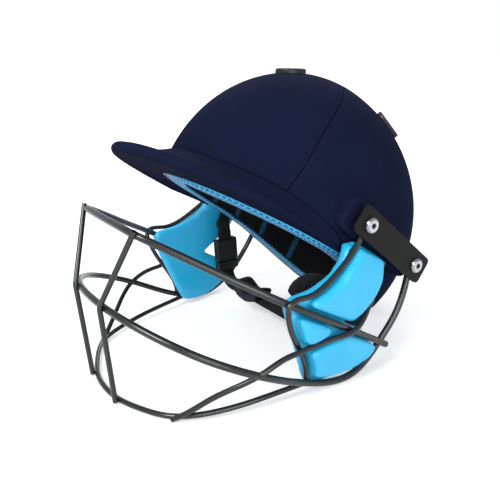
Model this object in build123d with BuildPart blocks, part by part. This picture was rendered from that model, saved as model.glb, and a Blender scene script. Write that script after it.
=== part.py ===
"""Cricket helmet with a wire face grille, moulded cheek pads and a webbing chin strap.

Lengths are in millimetres. Every piece is built as the helmet is worn: +Z up, +X towards
the wearer's left, -Y towards the peak, with the origin at the middle of the crown's egg.
At the end everything is leaned back as the helmet stands on its grille and nape.
"""
from build123d import *
from math import atan2, cos, degrees, pi, radians, sin, sqrt
import os

os.makedirs("parts", exist_ok=True)

# Crown
SHELL_HALF_WIDTH = 98.5     # outside of the cloth, at the ears
SHELL_FRONT_REACH = 116.0   # egg centre to the forehead
SHELL_REAR_REACH = 135.0    # egg centre to the back of the head
SHELL_RISE = 121.0          # egg centre to the top
COVER_THICK = 1.2           # cloth
COVER_HEM = 2.0             # cloth ends this far above the edge of the shell
SHELL_THICK = 3.0           # moulded hard shell
FOAM_THICK = 11.0           # impact foam
LINING_THICK = 5.0          # padded lining
LAYER_GAP = 0.2             # glue line between layers
SEAM_GAP = 0.6              # groove where two cloth panels meet
RIM_DROP = 53.6             # egg centre to the nape edge of the shell
RIM_SHARES = [              # rim line: share of the front or rear reach, share of RIM_DROP
    (-1.30, 0.19), (-0.90, 0.20), (-0.43, 0.26), (-0.06, 0.33), (0.22, 0.46),
    (0.43, 0.63), (0.62, 0.82), (0.74, 0.95), (0.84, 1.00), (1.30, 1.00),
]
CROWN_SEAM_SHARES = [       # seam over the crown: share of the front reach, share of the rise
    (-0.62, -0.10), (-0.58, 0.08), (-0.44, 0.51), (-0.22, 0.86), (-0.06, 0.98), (0.08, 1.10),
]
BAND_SEAM_SHARES = [        # seam above the peak band: share of the front reach, of the rise
    (-1.20, 0.092), (-0.95, 0.09), (-0.73, 0.082), (-0.58, 0.063), (-0.44, 0.031),
    (-0.31, -0.005), (-0.16, -0.054), (0.02, -0.20),
]
OVERRUN = 20.0              # how far every cut runs past the solid it cuts

# Peak
PEAK_HALF_WIDTH = 99.5
PEAK_REACH = 162.0          # egg centre to the tip
PEAK_ROOT = 15.0            # egg centre forward to where the brim dies into the side
PEAK_ROOT_DROP = 18.0       # underside below the egg centre at the root
PEAK_TIP_DROP = 11.0        # underside below the egg centre at the tip
PEAK_EDGE = 8.0             # thickness at the rim of the peak
PEAK_EDGE_ROUND = 2.6       # how far the edge is rounded in, top and bottom
PEAK_RISE = 14.0            # top face from the rim up to the crown
PEAK_SIDE_RUN = 10.0        # run of the top face at the sides
PEAK_FRONT_RUN = 50.0       # run of the top face at the front
PEAK_SQUARENESS = 2.3       # exponent of the plan outline
PEAK_STEPS = 24             # points of the plan outline

# Button and vents
BUTTON_DIA = 26.0
BUTTON_HEIGHT = 3.2
BUTTON_ROUND = 1.8
BUTTON_FORWARD = 50.0
VENT_LENGTH = 28.0
VENT_WIDTH = 15.0
VENT_HEIGHT = 3.0
VENT_SIDE = 45.0
VENT_REAR = 34.0
VENT_ROUND = 1.2
VENT_RIM = 3.0              # width of the raised rim round the dished middle
VENT_DISH = 1.2
SINK = 1.0                  # how far a trim piece is let into the cover

# Side bosses and plates
PLATE_LENGTH = 92.6
PLATE_WIDTH = 22.6
PLATE_THICK = 2.5
PLATE_PITCH = 10.1          # degrees, rear end down
PLATE_FACE = 113.0          # outside face from the middle of the helmet
PLATE_REAR = 23.2           # plate centre behind the egg centre
PLATE_RISE = 3.4            # plate centre above the egg centre
PLATE_CORNER = 4.0
PLATE_EDGE = 0.4
SCREW_INSET = 13.0
BOSS_LENGTH = 92.0
BOSS_WIDTH = 27.0
BOSS_AHEAD = 6.5            # boss centre ahead of the plate centre
BOSS_CORNER = 8.0
BOSS_EDGE = 2.4
EYE_DIA = 15.0              # eyes that the screws clamp
EYE_THICK = 5.7             # a little over the bar that it is formed from
EYE_ROUND = 1.6
SCREW_DIA = 5.0
SCREW_HEAD_DIA = 12.4
SCREW_HEAD_HEIGHT = 3.0
SCREW_HEAD_ROUND = 2.2
SCREW_SOCKET = 4.4
SCREW_SOCKET_DEPTH = 1.8
INSERT_DIA = 8.0
INSERT_LENGTH = 6.5
HOLE_CLEARANCE = 0.15

# Grille wires
BAR_DIA = 5.4               # top and middle bars
WIRE_DIA = 4.2              # every other wire
GRILLE_HALF_WIDTH = 117.2   # bar line at the cheeks
TOP_REACH = 152.0           # front of the top bar
TOP_DROP = 61.0             # top bar below the egg centre at its front
MIDDLE_REACH = 140.0
MIDDLE_DROP = 119.4
BOTTOM_REACH = 100.3
BOTTOM_DROP = 186.6
TOP_BAR_SHARES = [          # right half from the front: shares of half width, reach, drop
    (0.000, -1.013, 1.000), (0.256, -1.007, 1.000), (0.410, -0.984, 1.003),
    (0.516, -0.908, 1.010), (0.725, -0.688, 1.040), (0.964, -0.368, 1.072),
    (1.000, 0.000, 1.102), (0.985, 0.372, 1.144),
]
MIDDLE_BAR_SHARES = [
    (0.000, -1.008, 1.000), (0.235, -0.990, 1.000), (0.567, -0.886, 1.000),
    (0.857, -0.653, 1.000), (0.961, -0.329, 0.992), (0.930, -0.043, 0.979),
    (0.947, 0.272, 0.838), (0.943, 0.386, 0.578), (0.943, 0.426, 0.340),
    (0.928, 0.424, 0.170), (0.920, 0.400, 0.050),
]
BOTTOM_BAR_SHARES = [
    (0.000, -1.000, 1.000), (0.186, -0.976, 0.996), (0.400, -0.905, 0.970),
    (0.608, -0.795, 0.927), (0.758, -0.566, 0.843), (0.845, -0.250, 0.725),
    (0.895, 0.040, 0.620),
]
POST_SHARES = [             # shares of half width, of MIDDLE_REACH, of MIDDLE_DROP
    (0.441, -1.087, 0.492), (0.235, -1.022, 1.005), (0.220, -0.716, 1.571),
]
POST_BEND = 9.0
DIAGONAL_SHARES = [
    (0.622, -0.568, 1.464), (0.660, -0.548, 1.420), (0.789, -0.487, 1.231),
    (0.968, -0.368, 0.964), (0.980, -0.285, 0.855), (0.984, -0.225, 0.804),
    (1.019, -0.057, 0.653), (1.038, 0.057, 0.561), (1.003, 0.126, 0.436),
    (0.950, 0.163, 0.300), (0.925, 0.171, 0.085),
]
LOOP_SHARES = [
    (0.924, -0.063, -0.040), (0.934, -0.082, 0.070), (0.958, -0.153, 0.255),
    (0.985, -0.305, 0.466), (0.996, -0.382, 0.511), (1.000, -0.409, 0.551),
    (0.994, -0.391, 0.597), (0.952, -0.203, 0.776), (0.912, -0.032, 0.950),
]

# Cheek pads
PAD_DEPTH = 118.0           # foot of the pad below the egg centre
PAD_THICK = 6.0             # base
PAD_FACE = 110.2            # widest point of the base's outer face
PAD_FACE_SHARES = [         # shares of PAD_FACE and of PAD_DEPTH down
    (0.955, -0.20), (0.965, 0.05), (0.985, 0.26), (1.000, 0.50), (0.990, 0.78),
    (0.945, 0.96), (0.925, 1.15),
]
PAD_OUTLINE_SHARES = [      # shares of PAD_DEPTH: rearwards, down
    (-0.44, 0.525), (-0.38, 0.483), (-0.305, 0.432), (-0.229, 0.356), (-0.178, 0.288),
    (-0.144, 0.195), (-0.127, 0.11), (-0.093, 0.051), (0.186, 0.068), (0.178, 0.314),
    (0.068, 0.525), (0.042, 0.551), (0.237, 0.551), (0.339, 0.576), (0.364, 0.636),
    (0.364, 0.746), (0.288, 0.847), (0.203, 0.924), (0.102, 0.975), (0.017, 1.000),
    (-0.042, 0.958), (-0.178, 0.839), (-0.356, 0.686), (-0.458, 0.585),
]
BLOCK_FACE = 121.0          # widest point of the raised blocks
BLOCK_FACE_SHARES = [
    (0.900, -0.10), (0.938, 0.07), (0.984, 0.24), (1.000, 0.52), (0.992, 0.76),
    (0.942, 0.95), (0.900, 1.05),
]
UPPER_BLOCK_SHARES = [
    (-0.136, 0.080), (0.169, 0.085), (0.186, 0.212), (0.161, 0.322), (0.102, 0.449),
    (0.042, 0.521), (-0.339, 0.517), (-0.314, 0.475), (-0.229, 0.403), (-0.161, 0.305),
    (-0.127, 0.203),
]
FRONT_BLOCK_SHARES = [
    (-0.390, 0.602), (-0.119, 0.600), (-0.093, 0.619), (-0.102, 0.648), (-0.153, 0.695),
    (-0.212, 0.737), (-0.254, 0.729), (-0.356, 0.636),
]
LOWER_BLOCK_SHARES = [
    (-0.169, 0.784), (-0.110, 0.733), (-0.025, 0.665), (0.034, 0.623), (0.059, 0.609),
    (0.331, 0.613), (0.356, 0.636), (0.331, 0.703), (0.237, 0.805), (0.093, 0.903),
    (-0.008, 0.932), (-0.051, 0.907), (-0.144, 0.822),
]
BLOCK_CORNER = 1.5
BLOCK_EDGE = 1.2
PAD_CLEARANCE = 0.3         # round the wires and the boss

# Lining
LINING_RISE = 34.0          # top of the padded band above the egg centre
SWEATBAND_DROP = 3.0        # mesh band below the rim
SWEATBAND_LAP = 2.0         # mesh band wider than the lining, on the head side
STITCH_WIDTH = 5.0
STITCH_THICK = 0.5
STITCH_RISE = 3.0           # foot of the stitching above the rim
STITCH_ANGLES = [-66, -42, -18, 6, 30, 54]  # degrees round from the side, each side
CROWN_PAD_RISE = 62.0       # crown pad starts above the egg centre

# Chin strap anchors
STRAP_HALF_SPAN = 87.6      # webbing from the middle of the helmet
ANCHOR_REAR = 5.0           # pivot behind the egg centre
ANCHOR_DROP = 30.0          # pivot below the egg centre
LUG_WIDTH = 13.0
LUG_THICK = 2.0
LUG_LENGTH = 30.0
PIN_DIA = 4.0
PIN_HEAD_DIA = 8.0
PIN_HEAD_THICK = 1.6
PIN_CLEARANCE = 0.05
SIDE_CLEARANCE = 0.3

# Chin strap
WEB_WIDTH = 15.0
WEB_THICK = 1.6
WEB_GRIP = 4.0              # how deep webbing is held in a fitting
STRAP_DROP = 64.0           # pivot to the webbing under the chin
WEB_RIGHT_SHARES = [        # shares of STRAP_HALF_SPAN, of STRAP_DROP down: bend at the buckle
    (-1.000, 0.800), (-0.960, 0.930), (-0.870, 0.990), (-0.770, 1.000),
]
WEB_LEFT_SHARES = [         # bend up to the slider
    (0.400, 1.000), (0.640, 0.970), (0.840, 0.890), (0.955, 0.790), (1.000, 0.690),
]
ANCHOR_EYE_DIA = 13.0
ANCHOR_EYE_THICK = 4.0
TANG_WIDTH = 18.0
TANG_TOP = 7.0              # full width of the tang starts this far below the pivot
TANG_FOOT = 11.0
FIT_CLEARANCE = 0.1         # webbing in its slots
BUCKLE_WIDTH = 24.0
BUCKLE_THICK = 8.6
BUCKLE_EDGE = 1.4
SOCKET_TOP = 15.0           # socket starts this far below the pivot
SOCKET_LENGTH = 23.0
SOCKET_WALL = 2.2
CAVITY_DEPTH = 16.6
PLUG_GAP = 0.6              # closed buckle, between socket and plug
PLUG_LENGTH = 9.4
PRONG_ROOT_DIA = 4.0
PRONG_LENGTH = 13.5         # above the plug's top face
PRONG_WIDTH = 2.6
PRONG_THICK = 3.6
PRONG_SPREAD = 7.2          # prong from the buckle's middle
PRONG_HEAD_LENGTH = 6.0
HEAD_SLOPE_SHARE = 0.6      # sloped part of the head
PRONG_PROUD = 0.6           # head stands out of the socket's side
WINDOW_MARGIN = 0.5         # window beyond the head, above and below
TONGUE_WIDTH = 4.0
TONGUE_LENGTH = 12.0
CUP_LENGTH = 44.0
CUP_WIDTH = 27.0
CUP_CENTRE = -42.0          # across the helmet, towards the wearer's right
CUP_FLOOR = 5.6             # rubber below the webbing
CUP_RISE = 17.0             # ends above the webbing
CUP_HOLLOW = 6.0            # middle above the webbing
CUP_LIP = 3.0               # width of the two raised ends
CUP_CORNER = 5.0
CUP_EDGE = 1.2
CUP_CLEARANCE = 0.3
SLIDER_HEIGHT = 16.0
SLIDER_WIDTH = 20.0
SLIDER_THICK = 4.0
SLIDER_DROP = 28.0
SLIDER_CORNER = 2.0
SLIDER_WINDOW = 4.5         # height of each of its two windows
TAB_THICK = 2.4
TAB_LENGTH = 56.0
TAB_OUTLINE_SHARES = [      # shares of TAB_LENGTH: forwards, down from the pivot
    (-0.10, 0.15), (-0.10, 0.52), (0.30, 0.60), (0.75, 0.62), (0.97, 0.46), (0.98, 0.32),
    (0.90, 0.20), (0.79, 0.15), (0.70, 0.10), (0.66, 0.00), (0.55, -0.06), (0.40, -0.04),
    (0.24, 0.06), (0.16, 0.15),
]
TAB_CORNER = 1.2
RIB_COUNT = 7
RIB_PITCH = 4.2
RIB_WIDTH = 1.6
RIB_HEIGHT = 0.7
RIB_START_SHARE = 0.34      # first rib, share of TAB_LENGTH ahead of the pivot
RIB_TOP_SHARE = 0.10        # ends of the ribs, shares of TAB_LENGTH below the pivot
RIB_FOOT_SHARE = 0.52

# Stance
LEAN = 31.75                # degrees leaned back from how it is worn

# Places that several pieces share
SHELL_OUT = COVER_THICK + LAYER_GAP         # shrinks of the layers' faces from the egg
SHELL_IN = SHELL_OUT + SHELL_THICK
FOAM_OUT = SHELL_IN + LAYER_GAP
FOAM_IN = FOAM_OUT + FOAM_THICK
LINING_OUT = FOAM_IN + LAYER_GAP
LINING_IN = LINING_OUT + LINING_THICK
FAR = SHELL_REAR_REACH + OVERRUN            # beyond the crown in every direction
EYE_OUT = PLATE_FACE - PLATE_THICK          # the grille's eyes lie under the plate
EYE_IN = EYE_OUT - EYE_THICK                # and on the boss's cloth
BOSS_FACE = EYE_IN - COVER_THICK - LAYER_GAP
BOSS_ROOT = SHELL_HALF_WIDTH / 2            # well inside the shell
SCREW_SPAN = PLATE_LENGTH - 2 * SCREW_INSET
LUG_IN = STRAP_HALF_SPAN + ANCHOR_EYE_THICK / 2 + SIDE_CLEARANCE
LUG_OUT = LUG_IN + LUG_THICK
SOCKET_FOOT = -SOCKET_TOP - SOCKET_LENGTH
PLUG_TOP = SOCKET_FOOT - PLUG_GAP
PLUG_FOOT = PLUG_TOP - PLUG_LENGTH
PRONG_AXIS = PLUG_TOP - PRONG_ROOT_DIA / 2


# Helpers
def shared(shares, *sizes):
    """Points from rows of shares, each column times its own size."""
    return [tuple(share * size for share, size in zip(row, sizes)) for row in shares]


def across(half_shares, *sizes):
    """Points right across the helmet from the shares of its left half, the middle first."""
    half = shared(half_shares, *sizes)
    return [(-x, y, z) for x, y, z in reversed(half[1:])] + half


def half_egg(shrink, reach, turn):
    """Front or rear half of the crown's egg, its pole at the forehead or at the back."""
    wide = SHELL_HALF_WIDTH - shrink
    with BuildPart() as half:
        Sphere(
            radius=wide,
            arc_size1=0,
            arc_size2=90,
            rotation=(turn, 0, 0),
            align=(Align.CENTER, Align.CENTER, Align.MIN),
        )
        scale(by=(1, (reach - shrink) / wide, (SHELL_RISE - shrink) / wide))
    return half.part


def egg(shrink):
    """Solid egg of the crown with every semi-axis less by shrink."""
    return half_egg(shrink, SHELL_FRONT_REACH, 90) + half_egg(shrink, SHELL_REAR_REACH, -90)


def side_region(line, corners):
    """Everything within a side-view outline: a smooth line closed over straight corners."""
    with BuildPart() as region:
        with BuildSketch(Plane.YZ):
            with BuildLine():
                edge = Spline(*line)
                Polyline(edge @ 1, *corners, edge @ 0)
            make_face()
        extrude(amount=FAR, both=True)
    return region.part


def below_rim(rise):
    """Everything that lies lower than the rim line raised by rise."""
    line = []
    for y_share, drop_share in RIM_SHARES:
        reach = SHELL_FRONT_REACH if y_share < 0 else SHELL_REAR_REACH
        line.append((y_share * reach, rise - drop_share * RIM_DROP))
    return side_region(line, [(line[-1][0], -FAR), (line[0][0], -FAR)])


def ahead_of_crown_seam(shift):
    """Everything in front of the seam that runs over the crown."""
    line = shared(CROWN_SEAM_SHARES, SHELL_FRONT_REACH, SHELL_RISE)
    line = [(y + shift, z) for y, z in line]
    return side_region(line, [(-FAR, FAR), (-FAR, -FAR)])


def under_band_seam(shift):
    """Everything below the seam above the peak band."""
    line = shared(BAND_SEAM_SHARES, SHELL_FRONT_REACH, SHELL_RISE)
    line = [(y, z + shift) for y, z in line]
    return side_region(line, [(line[-1][0], -FAR), (line[0][0], -FAR)])


def layer(outer, inner, rise=0.0):
    """Layer of the crown between two shrinks, cut off along the rim line raised by rise."""
    return egg(outer) - egg(inner) - below_rim(rise)


def crown_plane(side, rear):
    """Plane that touches the crown where it is so far to the side and to the rear."""
    reach = SHELL_FRONT_REACH if rear < 0 else SHELL_REAR_REACH
    rise = SHELL_RISE * sqrt(1 - (side / SHELL_HALF_WIDTH) ** 2 - (rear / reach) ** 2)
    up = Vector(side / SHELL_HALF_WIDTH**2, rear / reach**2, rise / SHELL_RISE**2).normalized()
    along = Vector(side, SHELL_REAR_REACH, 0)
    return Plane(origin=(side, rear, rise), x_dir=along - up * along.dot(up), z_dir=up)


def plate_plane(off):
    """Plane parallel to the left side plate, so far from the middle, its X along the plate."""
    pitch = radians(PLATE_PITCH)
    return Plane(
        origin=(off, PLATE_REAR, PLATE_RISE),
        x_dir=(0, cos(pitch), -sin(pitch)),
        z_dir=(1, 0, 0),
    )


def boss_block(margin, outer):
    """Block of the left boss with its outline drawn in by margin."""
    with BuildPart() as block:
        with BuildSketch(plate_plane(BOSS_ROOT)):
            with Locations((-BOSS_AHEAD, 0)):
                RectangleRounded(
                    BOSS_LENGTH - 2 * margin, BOSS_WIDTH - 2 * margin, BOSS_CORNER - margin
                )
        extrude(amount=outer - BOSS_ROOT)
        fillet(block.faces().sort_by(Axis.X)[-1].edges(), radius=BOSS_EDGE)
    return block.part


def on_screws(diameter, inner, outer):
    """Round studs on the two screw axes of the left plate."""
    with BuildPart() as studs:
        with BuildSketch(plate_plane(inner)):
            with GridLocations(SCREW_SPAN, 0, 2, 1):
                Circle(diameter / 2)
        extrude(amount=outer - inner)
    return studs.part


def mirrored(part):
    """The same piece on the other side of the helmet."""
    return part.mirror(Plane.YZ)


def rod(points, diameter, bend=None):
    """Round wire along points: one smooth run, or straight legs with one bend radius."""
    with BuildPart() as wire:
        with BuildLine() as run:
            if bend is None:
                Spline(*points)
            else:
                FilletPolyline(*points, radius=bend)
        with BuildSketch(Plane(origin=run.line @ 0, z_dir=run.line % 0)):
            Circle(diameter / 2)
        sweep()
    return wire.part


def eye_ring(along, diameter):
    """Eye of the grille under the left plate, on the screw that lies so far along it."""
    with BuildPart() as ring:
        with BuildSketch(plate_plane(EYE_IN)):
            with Locations((along, 0)):
                Circle(diameter / 2)
        extrude(amount=EYE_OUT - EYE_IN)
        fillet(ring.edges().filter_by(GeomType.CIRCLE), radius=EYE_ROUND)
    return ring.part - on_screws(SCREW_DIA + 2 * HOLE_CLEARANCE, EYE_IN, EYE_OUT)


def face_slab(face, face_shares, thick):
    """Slab of the left pad whose outer face is curved as seen from the front."""
    line = [(out * face, -down * PAD_DEPTH) for out, down in face_shares]
    with BuildPart() as slab:
        with BuildSketch(Plane.XZ):
            with BuildLine():
                outer = Spline(*line)
                inner = Spline(*[(x - thick, z) for x, z in line])
                Line(outer @ 0, inner @ 0)
                Line(outer @ 1, inner @ 1)
            make_face()
        extrude(amount=PAD_DEPTH, both=True)
    return slab.part


def pad_prism(outline_shares):
    """Prism across the left cheek over an outline of the pad."""
    outline = [(rear * PAD_DEPTH, -down * PAD_DEPTH) for rear, down in outline_shares]
    with BuildPart() as prism:
        with BuildSketch(Plane.YZ.offset(BOSS_ROOT)) as sketch:
            with BuildLine():
                Polyline(*outline, close=True)
            make_face()
            fillet(sketch.vertices(), radius=BLOCK_CORNER)
        extrude(amount=FAR - BOSS_ROOT)
    return prism.part


def pad_block(outline_shares):
    """Raised block of the left cheek pad, with its outer edge rounded."""
    thick = BLOCK_FACE - PAD_FACE + PAD_THICK
    slab = face_slab(BLOCK_FACE, BLOCK_FACE_SHARES, thick)
    with BuildPart() as block:
        add(pad_prism(outline_shares))
        add(slab, mode=Mode.INTERSECT)
        outside = block.faces().filter_by(GeomType.EXTRUSION).sort_by(Axis.X)[-1]
        fillet(outside.edges(), radius=BLOCK_EDGE)
    return block.part


def peak_outline(side_inset, front_inset):
    """Plan outline of the peak, a squarish oval from side to side, drawn in by its insets."""
    wide = PEAK_HALF_WIDTH - side_inset
    reach = PEAK_REACH - PEAK_ROOT - front_inset
    power = 2 / PEAK_SQUARENESS
    points = []
    for step in range(PEAK_STEPS + 1):
        turn = pi * step / PEAK_STEPS
        side = -1 if cos(turn) > 0 else 1
        points.append((side * wide * abs(cos(turn)) ** power, -reach * sin(turn) ** power))
    return points


pieces = {}
STANCE = Location((0, 0, 0), (-LEAN, 0, 0))
PIVOT = STANCE * Pos(0, ANCHOR_REAR, -ANCHOR_DROP)
HANG = Location(PIVOT.position)


def keep(name, part, place=STANCE):
    """Labels a finished piece and stands it up with the others."""
    part = part.moved(place)
    part.label = name
    pieces[name] = part


def keep_pair(name, part, place=STANCE):
    """Keeps a piece of the wearer's left and its mirror image on the right."""
    keep(name + "_l", part, place)
    keep(name + "_r", mirrored(part), place)


# Cloth panels of the crown
crown_solid = egg(0)
cover_layer = layer(0, COVER_THICK, COVER_HEM)
boss_core = boss_block(COVER_THICK + LAYER_GAP, BOSS_FACE)
boss_window = boss_block(COVER_THICK, BOSS_FACE + LAYER_GAP)
button_plane = crown_plane(0, -BUTTON_FORWARD)
vent_plane = crown_plane(VENT_SIDE, VENT_REAR)

with BuildPart() as crown_button:
    with BuildSketch(button_plane.offset(-SINK)):
        Circle(BUTTON_DIA / 2)
    extrude(amount=SINK + BUTTON_HEIGHT)
    fillet(crown_button.faces().sort_by(Axis.Z)[-1].edges(), radius=BUTTON_ROUND)
keep("crown_button", crown_button.part)

with BuildPart() as rear_vents:
    with BuildSketch(vent_plane.offset(-SINK)):
        SlotOverall(VENT_LENGTH, VENT_WIDTH)
    extrude(amount=SINK + VENT_HEIGHT)
    fillet(rear_vents.faces().sort_by(Axis.Z)[-1].edges(), radius=VENT_ROUND)
    with BuildSketch(vent_plane.offset(VENT_HEIGHT)):
        SlotOverall(VENT_LENGTH - 2 * VENT_RIM, VENT_WIDTH - 2 * VENT_RIM)
    extrude(amount=-VENT_DISH, mode=Mode.SUBTRACT)
    mirror(about=Plane.YZ)
keep("rear_vents", rear_vents.part)

with BuildPart() as trim_pockets:
    with BuildSketch(button_plane.offset(-SINK)):
        Circle(BUTTON_DIA / 2)
    with BuildSketch(vent_plane.offset(-SINK)):
        SlotOverall(VENT_LENGTH, VENT_WIDTH)
    extrude(amount=SINK + VENT_HEIGHT)
    mirror(about=Plane.YZ)

with BuildPart() as cover_band:
    add(cover_layer)
    add(under_band_seam(-SEAM_GAP / 2), mode=Mode.INTERSECT)
    add([boss_window, mirrored(boss_window)], mode=Mode.SUBTRACT)
keep("cover_band", cover_band.part)

with BuildPart() as cover_front:
    add(cover_layer)
    add(ahead_of_crown_seam(-SEAM_GAP / 2), mode=Mode.INTERSECT)
    add(under_band_seam(SEAM_GAP / 2), mode=Mode.SUBTRACT)
    add(trim_pockets.part, mode=Mode.SUBTRACT)
keep("cover_front", cover_front.part)

with BuildPart() as cover_rear:
    add(cover_layer)
    add(ahead_of_crown_seam(SEAM_GAP / 2), mode=Mode.SUBTRACT)
    add(under_band_seam(SEAM_GAP / 2), mode=Mode.SUBTRACT)
    add([boss_window, mirrored(boss_window)], mode=Mode.SUBTRACT)
    add(trim_pockets.part, mode=Mode.SUBTRACT)
keep("cover_rear", cover_rear.part)

# Peak: a firm rounded edge and a top face that rises evenly to the crown
peak_fall = degrees(atan2(PEAK_ROOT_DROP - PEAK_TIP_DROP, PEAK_REACH - PEAK_ROOT))
peak_base = Plane(
    origin=(0, -PEAK_ROOT, -PEAK_ROOT_DROP),
    x_dir=(1, 0, 0),
    z_dir=(0, sin(radians(peak_fall)), cos(radians(peak_fall))),
)
peak_levels = [
    (0, PEAK_EDGE_ROUND, PEAK_EDGE_ROUND),
    (PEAK_EDGE_ROUND, 0, 0),
    (PEAK_EDGE - PEAK_EDGE_ROUND, 0, 0),
    (PEAK_EDGE, PEAK_EDGE_ROUND, PEAK_EDGE_ROUND),
    (PEAK_EDGE + PEAK_RISE, PEAK_SIDE_RUN, PEAK_FRONT_RUN),
]
boss_outside = boss_block(0, EYE_IN)

with BuildPart() as peak:
    for level, side_inset, front_inset in peak_levels:
        with BuildSketch(peak_base.offset(level)):
            with BuildLine():
                curve = Spline(*peak_outline(side_inset, front_inset))
                Line(curve @ 1, curve @ 0)
            make_face()
    loft(ruled=True)
    add(crown_solid, mode=Mode.SUBTRACT)
    add([boss_outside, mirrored(boss_outside)], mode=Mode.SUBTRACT)
keep("peak", peak.part)

# Hard shell with a moulded boss on each side
insert_bores = on_screws(INSERT_DIA, BOSS_FACE - INSERT_LENGTH, BOSS_FACE)
boss_outer_part = boss_core - egg(SHELL_IN) - insert_bores

with BuildPart() as hard_shell:
    add(layer(SHELL_OUT, SHELL_IN))
    add([boss_outer_part, mirrored(boss_outer_part)])
keep("hard_shell", hard_shell.part)

with BuildPart() as boss_cover:
    add(boss_outside)
    add([boss_window, crown_solid], mode=Mode.SUBTRACT)
    screw_passage = on_screws(SCREW_DIA + 2 * HOLE_CLEARANCE, BOSS_ROOT, EYE_IN)
    add(screw_passage, mode=Mode.SUBTRACT)
keep_pair("boss_cover", boss_cover.part)

with BuildPart() as boss_inserts:
    add(insert_bores)
    bore = on_screws(SCREW_DIA + 2 * HOLE_CLEARANCE, BOSS_ROOT, BOSS_FACE)
    add(bore, mode=Mode.SUBTRACT)
    mirror(about=Plane.YZ)
keep("boss_inserts", boss_inserts.part)

# Side plates and their screws
with BuildPart() as side_plate:
    with BuildSketch(plate_plane(EYE_OUT)):
        RectangleRounded(PLATE_LENGTH, PLATE_WIDTH, PLATE_CORNER)
    extrude(amount=PLATE_THICK)
    fillet(side_plate.faces().sort_by(Axis.X)[-1].edges(), radius=PLATE_EDGE)
    add(on_screws(SCREW_DIA + 2 * HOLE_CLEARANCE, EYE_OUT, PLATE_FACE), mode=Mode.SUBTRACT)
keep_pair("side_plate", side_plate.part)

with BuildPart() as plate_screws:
    add(on_screws(SCREW_HEAD_DIA, PLATE_FACE, PLATE_FACE + SCREW_HEAD_HEIGHT))
    crowns = plate_screws.edges().filter_by(GeomType.CIRCLE).group_by(Axis.X)[-1]
    fillet(crowns, radius=SCREW_HEAD_ROUND)
    add(on_screws(SCREW_DIA, BOSS_FACE - INSERT_LENGTH, PLATE_FACE))
    with BuildSketch(plate_plane(PLATE_FACE + SCREW_HEAD_HEIGHT)):
        with GridLocations(SCREW_SPAN, 0, 2, 1):
            RegularPolygon(SCREW_SOCKET / 2, 6)
    extrude(amount=-SCREW_SOCKET_DEPTH, mode=Mode.SUBTRACT)
    mirror(about=Plane.YZ)
keep("plate_screws", plate_screws.part)

# Grille
cheek_sizes = (GRILLE_HALF_WIDTH, MIDDLE_REACH, -MIDDLE_DROP)
top_points = across(TOP_BAR_SHARES, GRILLE_HALF_WIDTH, TOP_REACH, -TOP_DROP)
bottom_points = across(BOTTOM_BAR_SHARES, GRILLE_HALF_WIDTH, BOTTOM_REACH, -BOTTOM_DROP)
front_eye = eye_ring(-SCREW_SPAN / 2, EYE_DIA)
rear_eye = eye_ring(SCREW_SPAN / 2, EYE_DIA)
screw_ways = on_screws(SCREW_DIA + 2 * HOLE_CLEARANCE, EYE_IN, EYE_OUT)

keep("top_bar", rod(top_points, BAR_DIA))
keep("bottom_bar", rod(bottom_points, WIRE_DIA))
keep_pair("front_post", rod(shared(POST_SHARES, *cheek_sizes), WIRE_DIA, POST_BEND))
keep_pair("diagonal", rod(shared(DIAGONAL_SHARES, *cheek_sizes), WIRE_DIA))

with BuildPart() as middle_bar:
    add(rod(across(MIDDLE_BAR_SHARES, *cheek_sizes), BAR_DIA))
    split(bisect_by=Plane.YZ, keep=Keep.TOP)
    add(rear_eye)
    add(screw_ways, mode=Mode.SUBTRACT)
    mirror(about=Plane.YZ)
keep("middle_bar", middle_bar.part)

with BuildPart() as side_loop:
    add(rod(shared(LOOP_SHARES, *cheek_sizes), WIRE_DIA))
    add(front_eye)
    add(screw_ways, mode=Mode.SUBTRACT)
keep_pair("side_loop", side_loop.part)

# Cheek pads: a moulded base with three raised blocks, channelled for the front wire
with BuildPart() as upper_block:
    add(pad_block(UPPER_BLOCK_SHARES))
    add(rod(shared(LOOP_SHARES, *cheek_sizes), WIRE_DIA + 2 * PAD_CLEARANCE), mode=Mode.SUBTRACT)

with BuildPart() as cheek_pad:
    add(pad_prism(PAD_OUTLINE_SHARES))
    add(face_slab(PAD_FACE, PAD_FACE_SHARES, PAD_THICK), mode=Mode.INTERSECT)
    add([upper_block.part, pad_block(FRONT_BLOCK_SHARES), pad_block(LOWER_BLOCK_SHARES)])
    add(boss_block(-PAD_CLEARANCE, EYE_IN + PAD_CLEARANCE), mode=Mode.SUBTRACT)
    add([front_eye, rear_eye], mode=Mode.SUBTRACT)
keep_pair("cheek_pad", cheek_pad.part)

# Chin strap lugs between shell and foam, with the pivot pins
with BuildPart() as strap_lug:
    with BuildSketch(Plane.YZ.offset(LUG_IN)):
        with Locations((ANCHOR_REAR, -ANCHOR_DROP)):
            Circle(LUG_WIDTH / 2)
            with Locations((0, LUG_LENGTH / 2)):
                Rectangle(LUG_WIDTH, LUG_LENGTH)
            Circle(PIN_DIA / 2, mode=Mode.SUBTRACT)
    extrude(amount=LUG_THICK)
keep_pair("strap_lug", strap_lug.part)

pin_foot = STRAP_HALF_SPAN - ANCHOR_EYE_THICK / 2 - SIDE_CLEARANCE
with BuildPart() as strap_pin:
    with BuildSketch(Plane.YZ.offset(pin_foot - PIN_HEAD_THICK)):
        with Locations((ANCHOR_REAR, -ANCHOR_DROP)):
            Circle(PIN_HEAD_DIA / 2)
    extrude(amount=PIN_HEAD_THICK)
    with BuildSketch(Plane.YZ.offset(pin_foot)):
        with Locations((ANCHOR_REAR, -ANCHOR_DROP)):
            Circle(PIN_DIA / 2)
    extrude(amount=LUG_OUT - pin_foot)
keep_pair("strap_pin", strap_pin.part)

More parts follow.
